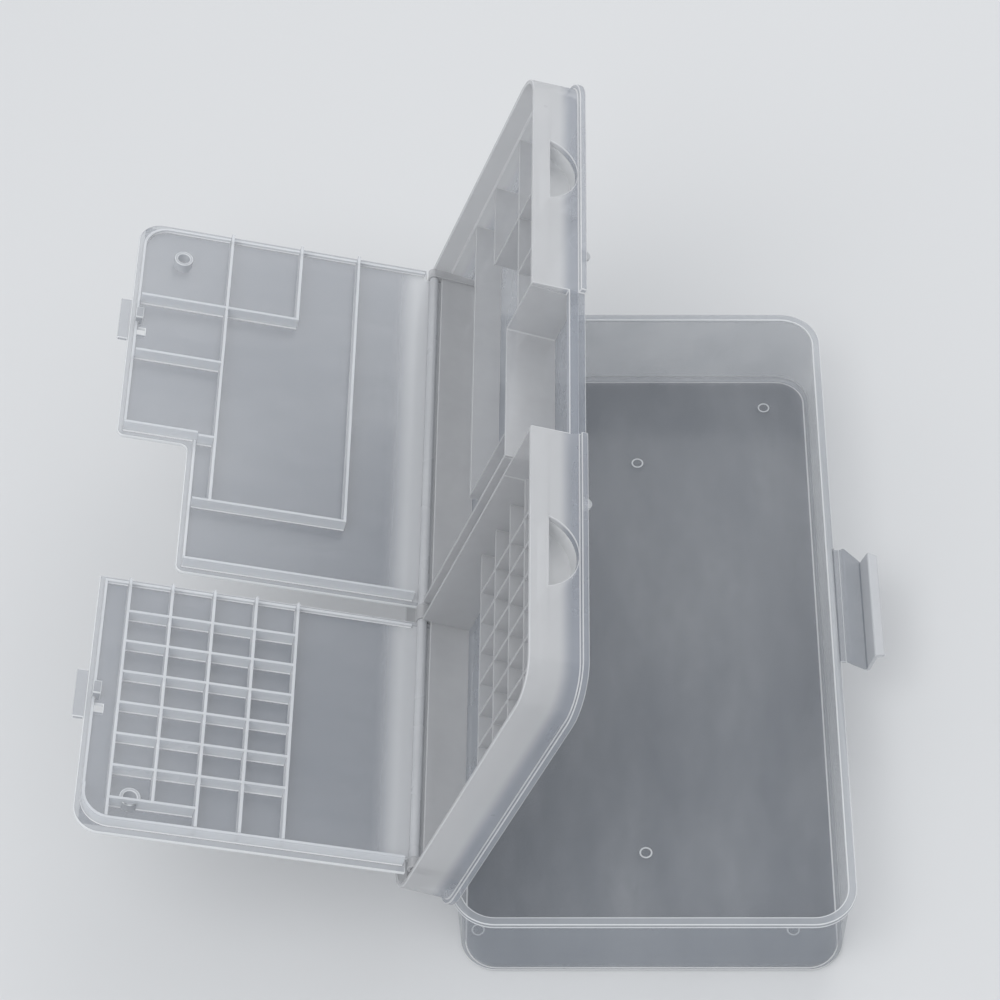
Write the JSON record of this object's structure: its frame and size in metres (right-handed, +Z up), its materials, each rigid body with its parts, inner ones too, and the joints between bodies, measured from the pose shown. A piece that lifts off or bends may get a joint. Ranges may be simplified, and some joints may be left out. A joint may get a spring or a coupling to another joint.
{
  "type": "small parts box",
  "caption": "Two-layer box for beads and small parts: plain lower tray, hinged upper tray of small cells under lids of its own, and a hook latch.",
  "frame": {"origin": "centre of the lower tray's flat underside", "axes": "+X from the hinge side to the latch side, +Y along the hinge towards the far section, +Z up from the table"},
  "size_m": [0.2751, 0.272, 0.1694],
  "materials": {
    "lower_plastic": "clear to milky moulded polypropylene, smooth",
    "upper_plastic": "milky moulded polypropylene, smooth",
    "lid_plastic": "clear to milky moulded polypropylene, smooth",
    "latch_plastic": "milky moulded polypropylene, smooth"
  },
  "bodies": {
    "lower_tray": {"lower_tray": "lower_plastic", "lower_hinge_clips": "lower_plastic", "latch_strip": "lower_plastic"},
    "main_latch": {"latch_plate": "latch_plastic", "latch_hook": "latch_plastic"},
    "upper_tray": {"upper_tray": "upper_plastic", "upper_hinge_tongues": "upper_plastic", "hinge_spine": "upper_plastic", "gutter_wall": "upper_plastic", "lid_hinge_eyes": "upper_plastic", "section_wall_near": "upper_plastic", "section_wall_far": "upper_plastic", "latch_well_walls": "upper_plastic", "near_thumb_scoop": "upper_plastic", "far_thumb_scoop": "upper_plastic", "near_long_wall_1": "upper_plastic", "near_long_wall_2": "upper_plastic", "near_long_wall_3": "upper_plastic", "near_long_wall_4": "upper_plastic", "near_long_wall_5": "upper_plastic", "near_cross_wall_1": "upper_plastic", "near_cross_wall_2": "upper_plastic", "near_cross_wall_3": "upper_plastic", "near_cross_wall_4": "upper_plastic", "near_cross_wall_5": "upper_plastic", "near_cross_wall_6": "upper_plastic", "near_cross_wall_7": "upper_plastic", "far_long_wall_1": "upper_plastic", "far_long_wall_2": "upper_plastic", "far_long_wall_3": "upper_plastic", "far_cross_wall_1": "upper_plastic", "far_cross_wall_2": "upper_plastic", "far_cross_wall_3": "upper_plastic", "far_cross_wall_4": "upper_plastic"},
    "near_lid": {"near_lid": "lid_plastic", "near_lid_lip": "lid_plastic", "near_lid_ribs": "lid_plastic", "near_lid_tab": "lid_plastic", "near_lid_barrel": "lid_plastic", "near_lid_boss": "lid_plastic"},
    "far_lid": {"far_lid": "lid_plastic", "far_lid_lip": "lid_plastic", "far_lid_ribs": "lid_plastic", "far_lid_tab": "lid_plastic", "far_lid_barrel": "lid_plastic", "far_lid_boss": "lid_plastic"}
  },
  "joints": [
    {"name": "upper_tray_hinge", "type": "hinge", "parent": "lower_tray", "child": "upper_tray", "pos_m": [-0.0702, 0, 0.0356], "axis": [0, 1, 0], "range_deg": [-40, 69.7]},
    {"name": "near_lid_hinge", "type": "hinge", "parent": "upper_tray", "child": "near_lid", "pos_m": [-0.07913, 0, 0.06364], "axis": [0, 1, 0], "range_deg": [0, 96]},
    {"name": "far_lid_hinge", "type": "hinge", "parent": "upper_tray", "child": "far_lid", "pos_m": [-0.07913, 0, 0.06364], "axis": [0, 1, 0], "range_deg": [0, 96]},
    {"name": "latch_hinge", "type": "hinge", "parent": "lower_tray", "child": "main_latch", "pos_m": [0.0698, -0.0034, 0.0348], "axis": [0, -1, 0], "range_deg": [0, 148.8]}
  ]
}
